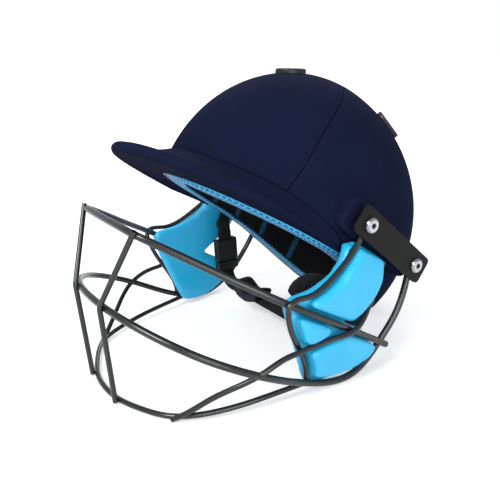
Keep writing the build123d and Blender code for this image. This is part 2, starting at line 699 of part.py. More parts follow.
with BuildPart() as lug_pockets:
    with BuildSketch(Plane.YZ.offset(LUG_IN - SIDE_CLEARANCE)):
        with Locations((ANCHOR_REAR, -ANCHOR_DROP + LUG_LENGTH / 2)):
            Rectangle(LUG_WIDTH + 2 * SIDE_CLEARANCE, LUG_LENGTH + 2 * SIDE_CLEARANCE)
    extrude(amount=LUG_THICK + 2 * SIDE_CLEARANCE)
    mirror(about=Plane.YZ)

# Foam and lining
with BuildPart() as foam_liner:
    add(layer(FOAM_OUT, FOAM_IN, LAYER_GAP))
    add(lug_pockets.part, mode=Mode.SUBTRACT)
keep("foam_liner", foam_liner.part)

with BuildPart() as lining_band:
    add(layer(LINING_OUT, LINING_IN, LAYER_GAP))
    split(bisect_by=Plane.XY.offset(LINING_RISE), keep=Keep.BOTTOM)
keep("lining_band", lining_band.part)

with BuildPart() as crown_pad:
    add(egg(LINING_OUT))
    add(egg(LINING_IN), mode=Mode.SUBTRACT)
    split(bisect_by=Plane.XY.offset(CROWN_PAD_RISE), keep=Keep.TOP)
keep("crown_pad", crown_pad.part)

with BuildPart() as sweatband:
    add(egg(FOAM_OUT))
    add(egg(LINING_IN + SWEATBAND_LAP), mode=Mode.SUBTRACT)
    add(below_rim(0), mode=Mode.INTERSECT)
    add([below_rim(-SWEATBAND_DROP), lug_pockets.part], mode=Mode.SUBTRACT)
keep("sweatband", sweatband.part)

stitch_layer = layer(LINING_IN, LINING_IN + STITCH_THICK, STITCH_RISE)
with BuildPart() as stitch_bars:
    with BuildSketch(Plane.XY.offset(-RIM_DROP)):
        for angle in STITCH_ANGLES:
            with Locations(Location((0, 0, 0), (0, 0, angle))):
                with Locations((FAR / 2, 0)):
                    Rectangle(FAR, STITCH_WIDTH)
    extrude(amount=RIM_DROP + LINING_RISE)
    mirror(about=Plane.YZ)
    add(stitch_layer, mode=Mode.INTERSECT)
keep("stitch_bars", stitch_bars.part)

# Strap fittings, drawn hanging below the pivot of the left side
def slot_prism(top, foot, side):
    """Prism that webbing with its clearance fills, on one side of the strap."""
    height = top - foot
    with BuildPart() as slot:
        with Locations((side * STRAP_HALF_SPAN, 0, (top + foot) / 2)):
            Box(WEB_THICK + 2 * FIT_CLEARANCE, WEB_WIDTH + 2 * FIT_CLEARANCE, height)
    return slot.part


with BuildPart() as strap_eye:
    with BuildSketch(Plane.YZ.offset(STRAP_HALF_SPAN - ANCHOR_EYE_THICK / 2)):
        Circle(ANCHOR_EYE_DIA / 2)
        with Locations((0, -(TANG_TOP + TANG_FOOT) / 2)):
            Rectangle(TANG_WIDTH, TANG_FOOT - TANG_TOP)
        make_hull()
        Circle(PIN_DIA / 2 + PIN_CLEARANCE, mode=Mode.SUBTRACT)
    extrude(amount=ANCHOR_EYE_THICK)
    web_slot = slot_prism(-TANG_FOOT + WEB_GRIP, -TANG_FOOT - OVERRUN, 1)
    add(web_slot, mode=Mode.SUBTRACT)
keep_pair("strap_eye", strap_eye.part, HANG)

with BuildPart() as buckle_web:
    with Locations((-STRAP_HALF_SPAN, 0, -(TANG_FOOT + SOCKET_TOP) / 2)):
        Box(WEB_THICK, WEB_WIDTH, SOCKET_TOP - TANG_FOOT + 2 * WEB_GRIP)
keep("buckle_web", buckle_web.part, HANG)

strap_sizes = (STRAP_HALF_SPAN, -STRAP_DROP)
with BuildPart() as chin_web:
    with BuildSketch(Plane.XZ):
        with BuildLine():
            right_points = shared(WEB_RIGHT_SHARES, *strap_sizes)
            Line((-STRAP_HALF_SPAN, PLUG_FOOT + WEB_GRIP), right_points[0])
            right = Spline(*right_points, tangents=[(0, -1), (1, 0)])
            left_points = shared(WEB_LEFT_SHARES, *strap_sizes)
            Line(right @ 1, left_points[0])
            left = Spline(*left_points, tangents=[(1, 0), (0, 1)])
            Line(left @ 1, (STRAP_HALF_SPAN, -TANG_FOOT + WEB_GRIP))
        trace(line_width=WEB_THICK)
    extrude(amount=WEB_WIDTH / 2, both=True)
keep("chin_web", chin_web.part, HANG)

# Side-release buckle
with BuildPart() as buckle_socket:
    with Locations((-STRAP_HALF_SPAN, 0, -SOCKET_TOP - SOCKET_LENGTH / 2)):
        Box(BUCKLE_THICK, BUCKLE_WIDTH, SOCKET_LENGTH)
    fillet(buckle_socket.edges(), radius=BUCKLE_EDGE)
    cavity_thick = BUCKLE_THICK - 2 * SOCKET_WALL
    with Locations((-STRAP_HALF_SPAN, 0, SOCKET_FOOT + CAVITY_DEPTH / 2)):
        Box(cavity_thick, BUCKLE_WIDTH - 2 * SOCKET_WALL, CAVITY_DEPTH, mode=Mode.SUBTRACT)
    window_middle = PLUG_TOP + PRONG_LENGTH - PRONG_HEAD_LENGTH / 2
    with Locations((-STRAP_HALF_SPAN, 0, window_middle)):
        window_height = PRONG_HEAD_LENGTH + 2 * WINDOW_MARGIN
        Box(cavity_thick, BUCKLE_WIDTH, window_height, mode=Mode.SUBTRACT)
    add(slot_prism(-SOCKET_TOP + OVERRUN, -SOCKET_TOP - WEB_GRIP, -1), mode=Mode.SUBTRACT)
keep("buckle_socket", buckle_socket.part, HANG)

with BuildPart() as buckle_plug:
    with Locations((-STRAP_HALF_SPAN, 0, PLUG_TOP - PLUG_LENGTH / 2)):
        Box(BUCKLE_THICK, BUCKLE_WIDTH, PLUG_LENGTH)
    fillet(buckle_plug.edges(), radius=BUCKLE_EDGE)
    with Locations((-STRAP_HALF_SPAN, 0, PLUG_TOP + TONGUE_LENGTH / 2)):
        Box(PRONG_THICK, TONGUE_WIDTH, TONGUE_LENGTH)
    with BuildSketch(Plane.YZ.offset(-STRAP_HALF_SPAN)):
        with Locations((-PRONG_SPREAD, PRONG_AXIS), (PRONG_SPREAD, PRONG_AXIS)):
            Circle(PRONG_ROOT_DIA / 2 + PIN_CLEARANCE)
            with Locations((0, PRONG_ROOT_DIA / 2)):
                Rectangle(PRONG_ROOT_DIA + 2 * PIN_CLEARANCE, PRONG_ROOT_DIA)
    extrude(amount=PRONG_THICK / 2 + SIDE_CLEARANCE, both=True, mode=Mode.SUBTRACT)
    add(slot_prism(PLUG_FOOT + WEB_GRIP, PLUG_FOOT - OVERRUN, -1), mode=Mode.SUBTRACT)
keep("buckle_plug", buckle_plug.part, HANG)

prong_top = PLUG_TOP + PRONG_LENGTH
head_side = BUCKLE_WIDTH / 2 + PRONG_PROUD
for name, rearwards in (("prong_front", -1), ("prong_rear", 1)):
    with BuildPart() as prong:
        with BuildSketch(Plane.YZ.offset(-STRAP_HALF_SPAN)):
            with Locations((rearwards * PRONG_SPREAD, PRONG_AXIS)):
                Circle(PRONG_ROOT_DIA / 2)
            with Locations((rearwards * PRONG_SPREAD, (PRONG_AXIS + prong_top) / 2)):
                Rectangle(PRONG_WIDTH, prong_top - PRONG_AXIS)
            with BuildLine():
                Polyline(
                    (rearwards * PRONG_SPREAD, prong_top),
                    (rearwards * (PRONG_SPREAD + PRONG_WIDTH), prong_top),
                    (rearwards * head_side, prong_top - PRONG_HEAD_LENGTH * HEAD_SLOPE_SHARE),
                    (rearwards * head_side, prong_top - PRONG_HEAD_LENGTH),
                    (rearwards * PRONG_SPREAD, prong_top - PRONG_HEAD_LENGTH),
                    close=True,
                )
            make_face()
        extrude(amount=PRONG_THICK / 2, both=True)
    keep(name, prong.part, HANG)

# Chin cup with a through channel for the webbing
cup_top = -STRAP_DROP + CUP_RISE
cup_foot = -STRAP_DROP - CUP_FLOOR
cup_sag = CUP_RISE - CUP_HOLLOW
cup_chord = CUP_LENGTH / 2 - CUP_LIP
cup_radius = (cup_chord**2 + cup_sag**2) / (2 * cup_sag)
with BuildPart() as chin_cup:
    with BuildSketch(Plane.XZ):
        with Locations((CUP_CENTRE, (cup_top + cup_foot) / 2)):
            RectangleRounded(CUP_LENGTH, cup_top - cup_foot, CUP_CORNER)
        with Locations((CUP_CENTRE, -STRAP_DROP + CUP_HOLLOW + cup_radius)):
            Circle(cup_radius, mode=Mode.SUBTRACT)
    extrude(amount=CUP_WIDTH / 2, both=True)
    sides = chin_cup.faces().filter_by(Axis.Y)
    fillet(sides.edges(), radius=CUP_EDGE)
    with Locations((CUP_CENTRE, 0, -STRAP_DROP)):
        channel_thick = WEB_THICK + 2 * CUP_CLEARANCE
        channel_width = WEB_WIDTH + 2 * CUP_CLEARANCE
        Box(CUP_LENGTH, channel_width, channel_thick, mode=Mode.SUBTRACT)
keep("chin_cup", chin_cup.part, HANG)

# Slider on the left webbing
with BuildPart() as strap_slider:
    with BuildSketch(Plane.YZ.offset(STRAP_HALF_SPAN)):
        with Locations((0, -SLIDER_DROP)):
            RectangleRounded(SLIDER_WIDTH, SLIDER_HEIGHT, SLIDER_CORNER)
            with GridLocations(0, SLIDER_HEIGHT / 2, 1, 2):
                Rectangle(WEB_WIDTH, SLIDER_WINDOW, mode=Mode.SUBTRACT)
    extrude(amount=SLIDER_THICK / 2, both=True)
    passage = slot_prism(-SLIDER_DROP + SLIDER_HEIGHT, -SLIDER_DROP - SLIDER_HEIGHT, 1)
    add(passage, mode=Mode.SUBTRACT)
keep("strap_slider", strap_slider.part, HANG)

# Ribbed tab inside the left anchor
tab_face = STRAP_HALF_SPAN - ANCHOR_EYE_THICK / 2 - SIDE_CLEARANCE
tab_outline = [(-ahead * TAB_LENGTH, -drop * TAB_LENGTH) for ahead, drop in TAB_OUTLINE_SHARES]
with BuildPart() as ribbed_tab:
    with BuildSketch(Plane.YZ.offset(tab_face - TAB_THICK)) as tab_sketch:
        with BuildLine():
            Polyline(*tab_outline, close=True)
        make_face()
        fillet(tab_sketch.vertices(), radius=TAB_CORNER)
    extrude(amount=TAB_THICK)
    with BuildSketch(Plane.YZ.offset(tab_face - TAB_THICK)):
        for rib in range(RIB_COUNT):
            ahead = RIB_START_SHARE * TAB_LENGTH + rib * RIB_PITCH
            with Locations((-ahead, -(RIB_TOP_SHARE + RIB_FOOT_SHARE) / 2 * TAB_LENGTH)):
                Rectangle(RIB_WIDTH, (RIB_FOOT_SHARE - RIB_TOP_SHARE) * TAB_LENGTH)
    extrude(amount=-RIB_HEIGHT)
keep("ribbed_tab", ribbed_tab.part, HANG)

# The finished helmet stands on the middle of its own footprint
extent = Compound(children=[part.moved(Location()) for part in pieces.values()]).bounding_box()
foot = Vector(extent.center().X, extent.center().Y, extent.min.Z)
for name, part in pieces.items():
    part = part.moved(Location(-foot))
    part.label = name
    export_step(part, f"parts/{name}.step")
pivot = PIVOT.position - foot
print("egg centre", -foot)
print("strap pivot", pivot)
print("box", extent.size)
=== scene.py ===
"""Looks of the cricket helmet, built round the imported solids.

Lengths in the tables are millimetres and pass through MM. A place on the crown is given as
the helmet is worn, from the middle of its egg, and worn() leans it back as the helmet stands.
"""
import bmesh
import bpy
from math import atan2, cos, pi, radians, sin, sqrt
from mathutils import Matrix, Vector
from mathutils.bvhtree import BVHTree


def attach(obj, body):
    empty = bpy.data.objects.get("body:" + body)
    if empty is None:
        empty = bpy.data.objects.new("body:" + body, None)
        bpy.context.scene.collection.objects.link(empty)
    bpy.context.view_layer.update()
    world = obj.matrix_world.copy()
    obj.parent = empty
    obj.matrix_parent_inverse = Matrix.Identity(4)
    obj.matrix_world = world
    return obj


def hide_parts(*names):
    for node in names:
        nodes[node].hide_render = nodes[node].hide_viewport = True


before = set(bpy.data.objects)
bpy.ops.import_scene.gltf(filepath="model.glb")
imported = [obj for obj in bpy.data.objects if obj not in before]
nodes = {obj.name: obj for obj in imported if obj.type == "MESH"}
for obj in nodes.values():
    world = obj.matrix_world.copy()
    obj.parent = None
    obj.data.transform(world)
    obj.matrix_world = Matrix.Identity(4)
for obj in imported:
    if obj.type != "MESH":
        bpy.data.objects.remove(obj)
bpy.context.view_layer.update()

MM = 0.001

# Egg of the crown
EGG_CENTRE = Vector((0, 27.807, 108.908))
LEAN = radians(31.75)
HALF_WIDTH = 98.5
FRONT_REACH = 116.0
REAR_REACH = 135.0
RISE = 121.0
CLOTH_HEM = 0.3         # hem of the cover above the rim
CLOTH_THICK = 1.2

# Lines in side view: y, and height (depth for the rim)
RIM_LINE = [
    (-150.8, 10.2), (-104.4, 10.7), (-49.9, 13.9), (-7.0, 17.7), (29.7, 24.7),
    (58.1, 33.8), (83.7, 44.0), (99.9, 50.9), (113.4, 53.6), (175.5, 53.6),
]
CROWN_SEAM = [(-71.9, -12.1), (-67.3, 9.7), (-51.0, 61.7), (-25.5, 104.1), (-7.0, 118.6), (9.3, 133.1)]
BAND_SEAM = [
    (-139.2, 11.1), (-110.2, 10.9), (-84.7, 9.9), (-67.3, 7.6), (-51.0, 3.8),
    (-36.0, -0.6), (-18.6, -6.5), (2.3, -24.2),
]

# Peak
PEAK_HALF_WIDTH = 99.5
PEAK_REACH = 162.0
PEAK_ROOT = 15.0
PEAK_ROOT_DROP = 18.0
PEAK_TIP_DROP = 11.0
PEAK_SQUARENESS = 2.3
PEAK_TILT = 0.036       # the peak sits a little higher on the wearer's left
PEAK_ROLL_THIN = 1.2    # radius of the rolled edge where the peak starts
PEAK_ROLL_GROWTH = 3.2  # and what it gains towards the front
PEAK_END = radians(8)   # the seam stops this far short of the sides

# Mesh band: shrink and lift of its outline, and its dimples' pitch
BAND_SHRINK = 12.6
BAND_HALF_WIDE = 9.8
BAND_OUTER_LIFT = 0.3
BAND_INNER_LIFT = -2.0
BAND_OUTER_HALF = 3.6
BAND_INNER_HALF = 1.5
BAND_TUCK = 2.6         # the soft band sits this much further in on the wearer's right
BAND_EASE = 40.0        # half width of the run over which that comes and goes
DIMPLE_ALONG = 4.6
DIMPLE_AROUND = 3.0
RUNG_PITCH = 2.3        # stitches of the sewn bars

# Lining's lower edge
LINING_FALL = 2.6
LINING_RUN = 12.0
LINING_FACE = 11.0      # depth below the egg's skin where the fall begins
LINING_EASE = 9.0       # and how far on it is complete

# Pads
PAD_SWELL = 0.6
PRESS_MARGIN = 1.0      # foam also gives way this far beside a wire

# Soft pieces of the strap
SLEEVE_PATH = [
    (82, -26, -62), (82, -21, -51), (82, -8, -46), (82, 14, -48), (82, 36, -55), (82, 56, -64),
]
SLEEVE_SIZE = (8.5, 3.0, 0.16, 3.4)     # half width, half thickness, rib depth, rib pitch
CUP_PATH = [
    (-62, 16.3, 28), (-57, 16.3, 25), (-50, 16.3, 18.5),
    (-36, 16.3, 17.5), (-27, 16.3, 23), (-22, 16.3, 27),
]
CUP_SIZE = (12.5, 5.6, 0.05, 11.0)
NECK_PLACE = (87.6, 16.3)
NECK_HEIGHTS = (88.5, 82.0, 76.0)
NECK_FOOT = {"l": 70.5, "r": 60.5}      # the left one ends above the slider's run
NECK_SIZE = (7.0, 2.3, 0.06, 2.0)


# Places
def worn(x, y, z):
    """Place on the worn helmet, in millimetres, as a place in the scene."""
    back = y * cos(LEAN) + z * sin(LEAN)
    up = z * cos(LEAN) - y * sin(LEAN)
    return (EGG_CENTRE + Vector((x, back, up))) * MM


def between(line, y):
    """Height of a side-view line at y, straight between its points."""
    for (y0, z0), (y1, z1) in zip(line, line[1:]):
        if y <= y1:
            break
    share = (y - y0) / (y1 - y0)
    return z0 + (z1 - z0) * share


def rim_drop(y):
    """Depth of the rim below the egg's middle, eased between its points."""
    spread = 9.0
    return (between(RIM_LINE, y - spread) + 2 * between(RIM_LINE, y) + between(RIM_LINE, y + spread)) / 4


def reach(turn, shrink):
    """Half length of the egg on the side that a turn about its upright axis faces."""
    return (REAR_REACH if sin(turn) > 0 else FRONT_REACH) - shrink


def rim_point(turn, shrink, lift):
    """Point of the egg, drawn in by shrink, that lies lift above the rim line."""
    wide = HALF_WIDTH - shrink
    tall = RISE - shrink
    long = reach(turn, shrink)
    z = -20.0
    for step in range(12):
        k = sqrt(1 - (z / tall) ** 2)
        z = lift - rim_drop(long * sin(turn) * k)
    k = sqrt(1 - (z / tall) ** 2)
    return Vector((wide * cos(turn) * k, long * sin(turn) * k, z))


def egg_point(turn, height, shrink):
    """Point of the egg at a turn about its upright axis and an angle above its middle."""
    k = cos(height)
    wide = HALF_WIDTH - shrink
    return Vector((wide * cos(turn) * k, reach(turn, shrink) * sin(turn) * k, (RISE - shrink) * sin(height)))


def side_distance(line, y, z):
    """Signed distance in side view from a smooth line, positive on its upper or rear side."""
    best = None
    for (y0, z0), (y1, z1) in zip(line, line[1:]):
        ry, rz = y1 - y0, z1 - z0
        length = ry * ry + rz * rz
        t = min(1, max(0, ((y - y0) * ry + (z - z0) * rz) / length))
        gap = Vector((y - y0 - t * ry, z - z0 - t * rz)).length
        side = 1 if ry * (z - z0) - rz * (y - y0) > 0 else -1
        if best is None or gap < abs(best):
            best = side * gap
    return best


def smooth_line(points, steps=8):
    """Side-view points with smoothly curved ones between them."""
    out = []
    count = len(points)
    for i in range(count - 1):
        a, b, c, d = (Vector(points[min(count - 1, max(0, i + k))]) for k in (-1, 0, 1, 2))
        for step in range(steps):
            t = step / steps
            eased = b * 2 + (c - a) * t + (a * 2 - b * 5 + c * 4 - d) * t * t
            out.append(tuple((eased + (b * 3 - a - c * 3 + d) * t**3) / 2))
    out.append(tuple(points[-1]))
    return out


# Materials
def new_material(name):
    """Empty node material with its Principled shader."""
    material = bpy.data.materials.new(name)
    material.use_nodes = True
    tree = material.node_tree
    return material, tree.nodes, tree.links, tree.nodes["Principled BSDF"]


def noise(tree_nodes, links, scale, detail=4.0, rough=0.6):
    """Noise texture on the object's own coordinates."""
    place = tree_nodes.new("ShaderNodeTexCoord")
    texture = tree_nodes.new("ShaderNodeTexNoise")
    texture.inputs["Scale"].default_value = scale
    texture.inputs["Detail"].default_value = detail
    texture.inputs["Roughness"].default_value = rough
    links.new(place.outputs["Object"], texture.inputs["Vector"])
    return texture.outputs["Fac"]


def ramp(tree_nodes, links, value, low, high):
    """Colour ramp between two (position, colour) stops."""
    node = tree_nodes.new("ShaderNodeValToRGB")
    for stop, (position, colour) in zip(node.color_ramp.elements, (low, high)):
        stop.position = position
        stop.color = (*colour, 1)
    links.new(value, node.inputs["Fac"])
    return node.outputs["Color"]


def bump(tree_nodes, links, height, strength, distance, below=None):
    """Bump on top of another bump."""
    node = tree_nodes.new("ShaderNodeBump")
    node.inputs["Strength"].default_value = strength
    node.inputs["Distance"].default_value = distance * MM
    links.new(height, node.inputs["Height"])
    if below is not None:
        links.new(below, node.inputs["Normal"])
    return node.outputs["Normal"]


def math_node(tree_nodes, links, kind, first, second=None, third=None):
    """Math node with values or sockets."""
    node = tree_nodes.new("ShaderNodeMath")
    node.operation = kind
    for socket, value in zip(node.inputs, (first, second, third)):
        if isinstance(value, (int, float)):
            socket.default_value = value
        elif value is not None:
            links.new(value, socket)
    return node.outputs[0]


def stepped(tree_nodes, links, value, low, high):
    """Smooth step from 0 at low to 1 at high."""
    node = tree_nodes.new("ShaderNodeMapRange")
    node.interpolation_type = "SMOOTHSTEP"
    links.new(value, node.inputs["Value"])
    node.inputs["From Min"].default_value = low
    node.inputs["From Max"].default_value = high
    return node.outputs["Result"]


def mixed(tree_nodes, links, share, first, second):
    """Colour mix of two colours or sockets."""
    node = tree_nodes.new("ShaderNodeMix")
    node.data_type = "RGBA"
    links.new(share, node.inputs["Factor"])
    for socket, value in ((node.inputs["A"], first), (node.inputs["B"], second)):
        if isinstance(value, tuple):
            socket.default_value = (*value, 1)
        else:
            links.new(value, socket)
    return node.outputs["Result"]


def attribute(tree_nodes, name):
    """Value stored with the mesh."""
    node = tree_nodes.new("ShaderNodeAttribute")
    node.attribute_name = name
    return node.outputs["Fac"]


def weave(tree_nodes, links, pitch):
    """Height of a plain weave on the object's own coordinates."""
    place = tree_nodes.new("ShaderNodeTexCoord")
    height = None
    for direction in "XYZ":
        wave = tree_nodes.new("ShaderNodeTexWave")
        wave.wave_type = "BANDS"
        wave.bands_direction = direction
        wave.inputs["Scale"].default_value = 1 / (pitch * MM) / 20
        wave.inputs["Distortion"].default_value = 0.6
        wave.inputs["Detail Scale"].default_value = 2.0
        links.new(place.outputs["Object"], wave.inputs["Vector"])
        value = wave.outputs["Fac"]
        height = value if height is None else math_node(tree_nodes, links, "MULTIPLY", height, value)
    return height


def cloth_material(name, seamed):
    """Navy woven cloth, with its seams sunk in where the mesh knows them and painted shade along each seam
    line.
    """
    material, n, links, shader = new_material(name)
    patches = noise(n, links, 22.0, 3.0)
    colour = ramp(n, links, patches, (0.3, (0.0066, 0.0092, 0.0290)), (0.7, (0.0084, 0.0114, 0.0350)))
    fibres = noise(n, links, 1500.0, 3.0, 0.75)
    threads = weave(n, links, 0.55)
    shader.inputs["Roughness"].default_value = 0.95
    shader.inputs["Specular IOR Level"].default_value = 0.04
    normal = bump(n, links, fibres, 0.25, 0.35)
    normal = bump(n, links, threads, 0.2, 0.25, normal)
    links.new(colour, shader.inputs["Base Color"])
    links.new(normal, shader.inputs["Normal"])
    if not seamed:
        return material
    crown_seam = math_node(n, links, "ABSOLUTE", attribute(n, "crown_seam"))
    over_band = stepped(n, links, attribute(n, "band_seam"), 0.0, 0.3)
    away = math_node(n, links, "SUBTRACT", 1.0, over_band)
    crown_gap = math_node(n, links, "MULTIPLY_ADD", away, 9.0, crown_seam)
    band_gap = math_node(n, links, "ABSOLUTE", attribute(n, "band_seam"))
    gap = math_node(n, links, "MINIMUM", crown_gap, band_gap)
    line = stepped(n, links, gap, 0.05, 0.6)
    roll = stepped(n, links, gap, 0.5, 3.5)
    # The seam line's near-black navy is painted shade in the sunk crease.
    dark = mixed(n, links, line, (0.0016, 0.0022, 0.007), colour)
    links.new(dark, shader.inputs["Base Color"])
    normal = bump(n, links, roll, 0.5, 0.5, normal)
    normal = bump(n, links, line, 0.7, 0.5, normal)
    links.new(normal, shader.inputs["Normal"])
    return material


def plain_cloth_material(name, low, high, pitch, sheen=0.15):
    """Woven or knitted cloth without seams."""
    material, n, links, shader = new_material(name)
    patches = noise(n, links, 60.0, 4.0)
    links.new(ramp(n, links, patches, (0.3, low), (0.7, high)), shader.inputs["Base Color"])
    shader.inputs["Roughness"].default_value = 0.85
    shader.inputs["Specular IOR Level"].default_value = 0.25
    shader.inputs["Sheen Weight"].default_value = sheen
    shader.inputs["Sheen Roughness"].default_value = 0.5
    normal = bump(n, links, noise(n, links, 1400.0, 3.0, 0.75), 0.2, 0.4)
    normal = bump(n, links, weave(n, links, pitch), 0.35, 0.4, normal)
    links.new(normal, shader.inputs["Normal"])
    return material


def mesh_material():
    """Sky-blue spacer mesh with rows of dimples darkened as painted shade, laid out on the band's own map."""
    material, n, links, shader = new_material("mesh_blue")
    along = attribute(n, "mesh_along")
    around = attribute(n, "mesh_around")
    row = math_node(n, links, "DIVIDE", around, DIMPLE_AROUND)
    whole = math_node(n, links, "FLOOR", row)
    odd = math_node(n, links, "MODULO", whole, 2.0)
    shift = math_node(n, links, "MULTIPLY", odd, 0.5)
    column = math_node(n, links, "DIVIDE", along, DIMPLE_ALONG)
    column = math_node(n, links, "ADD", column, shift)
    u = math_node(n, links, "SUBTRACT", math_node(n, links, "FRACT", column), 0.5)
    v = math_node(n, links, "SUBTRACT", math_node(n, links, "FRACT", row), 0.5)
    uu = math_node(n, links, "MULTIPLY", u, u)
    vv = math_node(n, links, "MULTIPLY", v, v)
    far = math_node(n, links, "SQRT", math_node(n, links, "ADD", uu, vv))
    hole = stepped(n, links, far, 0.28, 0.40)
    lit = noise(n, links, 700.0, 3.0)
    base = ramp(n, links, lit, (0.3, (0.035, 0.48, 0.92)), (0.7, (0.07, 0.58, 0.98)))
    # The dimples' dark blue is painted shade in their hollows.
    links.new(mixed(n, links, hole, (0.006, 0.12, 0.34), base), shader.inputs["Base Color"])
    shader.inputs["Roughness"].default_value = 0.55
    shader.inputs["Sheen Weight"].default_value = 0.1
    normal = bump(n, links, lit, 0.15, 0.4)
    links.new(bump(n, links, hole, 0.8, 1.2, normal), shader.inputs["Normal"])
    return material


def pad_material():
    """Sky-blue moulded foam with a satin skin."""
    material, n, links, shader = new_material("pad_blue")
    patches = noise(n, links, 30.0, 4.0)
    colour = ramp(n, links, patches, (0.3, (0.014, 0.490, 0.840)), (0.7, (0.020, 0.530, 0.880)))
    links.new(colour, shader.inputs["Base Color"])
    shader.inputs["Roughness"].default_value = 0.36
    shader.inputs["Specular IOR Level"].default_value = 0.65
    shader.inputs["Coat Weight"].default_value = 0.45
    shader.inputs["Coat Roughness"].default_value = 0.35
    shader.inputs["Subsurface Weight"].default_value = 0.1
    shader.inputs["Subsurface Radius"].default_value = (0.2, 0.6, 1.0)
    shader.inputs["Subsurface Scale"].default_value = 2 * MM
    pores = noise(n, links, 1100.0, 2.0, 0.5)
    waves = noise(n, links, 45.0, 2.0, 0.5)
    normal = bump(n, links, pores, 0.08, 0.25)
    links.new(bump(n, links, waves, 0.12, 1.0, normal), shader.inputs["Normal"])
    return material


def wire_material():
    """Dark grey gloss powder coat over steel wire."""
    material, n, links, shader = new_material("wire_grey")
    peel = noise(n, links, 420.0, 3.0, 0.55)
    patches = noise(n, links, 25.0, 4.0)
    colour = ramp(n, links, patches, (0.3, (0.008, 0.0085, 0.009)), (0.7, (0.014, 0.0145, 0.015)))
    links.new(colour, shader.inputs["Base Color"])
    rough = stepped(n, links, patches, 0.0, 1.0)
    links.new(math_node(n, links, "MULTIPLY_ADD", rough, 0.08, 0.22), shader.inputs["Roughness"])
    shader.inputs["Metallic"].default_value = 0.2
    shader.inputs["Specular IOR Level"].default_value = 0.6
    shader.inputs["Coat Weight"].default_value = 0.7
    shader.inputs["Coat Roughness"].default_value = 0.16
    links.new(bump(n, links, peel, 0.04, 0.2), shader.inputs["Normal"])
    return material


def hard_material(name, low, high, roughness, metallic=0.0, grain=900.0, depth=0.1, shine=0.5):
    """Moulded, painted or turned surface with a fine grain."""
    material, n, links, shader = new_material(name)
    patches = noise(n, links, 40.0, 4.0)
    links.new(ramp(n, links, patches, (0.3, low), (0.7, high)), shader.inputs["Base Color"])
    spread = stepped(n, links, patches, 0.0, 1.0)
    links.new(math_node(n, links, "MULTIPLY_ADD", spread, 0.1, roughness - 0.05), shader.inputs["Roughness"])
    shader.inputs["Metallic"].default_value = metallic
    shader.inputs["Specular IOR Level"].default_value = shine
    links.new(bump(n, links, noise(n, links, grain, 3.0), depth, 0.3), shader.inputs["Normal"])
    return material


def stitch_material():
    """Blue thread rungs sewn across each bar over the black lining."""
    material, n, links, shader = new_material("stitch_blue")
    place = n.new("ShaderNodeTexCoord")
    split = n.new("ShaderNodeSeparateXYZ")
    links.new(place.outputs["Object"], split.inputs["Vector"])
    back = math_node(n, links, "MULTIPLY", split.outputs["Y"], sin(LEAN) / MM)
    height = math_node(n, links, "MULTIPLY_ADD", split.outputs["Z"], cos(LEAN) / MM, back)
    wave = math_node(n, links, "SINE", math_node(n, links, "MULTIPLY", height, 2 * pi / RUNG_PITCH))
    rung = stepped(n, links, wave, -0.5, 0.4)
    fibre = noise(n, links, 900.0, 3.0)
    thread = ramp(n, links, fibre, (0.3, (0.010, 0.19, 0.42)), (0.7, (0.02, 0.30, 0.60)))
    links.new(mixed(n, links, rung, (0.005, 0.012, 0.02), thread), shader.inputs["Base Color"])
    shader.inputs["Roughness"].default_value = 0.8
    links.new(bump(n, links, rung, 0.6, 0.4), shader.inputs["Normal"])
    return material


def screw_material():
    """Bright steel heads, with the socket round each screw's own axis painted dark and not metallic as its
    shade.
    """
    material, n, links, shader = new_material("screw_steel")
    place = n.new("ShaderNodeTexCoord")
    near = None
    for y, z in screw_axes():
        axis = n.new("ShaderNodeCombineXYZ")
        axis.inputs["Y"].default_value = y
        axis.inputs["Z"].default_value = z
        flat = n.new("ShaderNodeVectorMath")
        flat.operation = "MULTIPLY"
        flat.inputs[1].default_value = (0, 1, 1)
        links.new(place.outputs["Object"], flat.inputs[0])
        gap = n.new("ShaderNodeVectorMath")
        gap.operation = "DISTANCE"
        links.new(flat.outputs["Vector"], gap.inputs[0])
        links.new(axis.outputs["Vector"], gap.inputs[1])
        value = gap.outputs["Value"]
        near = value if near is None else math_node(n, links, "MINIMUM", near, value)
    # Inside the socket the steel is painted near-black and not metallic: painted shade in the recess.
    clear = stepped(n, links, near, 1.9 * MM, 2.35 * MM)
    ring = stepped(n, links, near, 4.6 * MM, 4.9 * MM)
    patches = noise(n, links, 90.0, 4.0)
    steel = ramp(n, links, patches, (0.3, (0.62, 0.62, 0.63)), (0.7, (0.76, 0.76, 0.77)))
    rim = mixed(n, links, ring, steel, (0.40, 0.40, 0.41))
    links.new(mixed(n, links, clear, (0.012, 0.014, 0.014), rim), shader.inputs["Base Color"])
    links.new(clear, shader.inputs["Metallic"])
    spread = stepped(n, links, patches, 0.0, 1.0)
    links.new(math_node(n, links, "MULTIPLY_ADD", spread, 0.08, 0.14), shader.inputs["Roughness"])
    links.new(bump(n, links, noise(n, links, 700.0, 3.0), 0.05, 0.2), shader.inputs["Normal"])
    return material


def screw_axes():
    """Where the front and rear screw axes stand, seen along them."""
    places = [v.co for v in nodes["plate_screws"].data.vertices if v.co.x > 0]
    middle = (min(p.y for p in places) + max(p.y for p in places)) / 2
    axes = []
    for side in (-1, 1):
        group = [p for p in places if (p.y - middle) * side > 0]
        ys, zs = [p.y for p in group], [p.z for p in group]
        axes.append(((min(ys) + max(ys)) / 2, (min(zs) + max(zs)) / 2))
    return axes


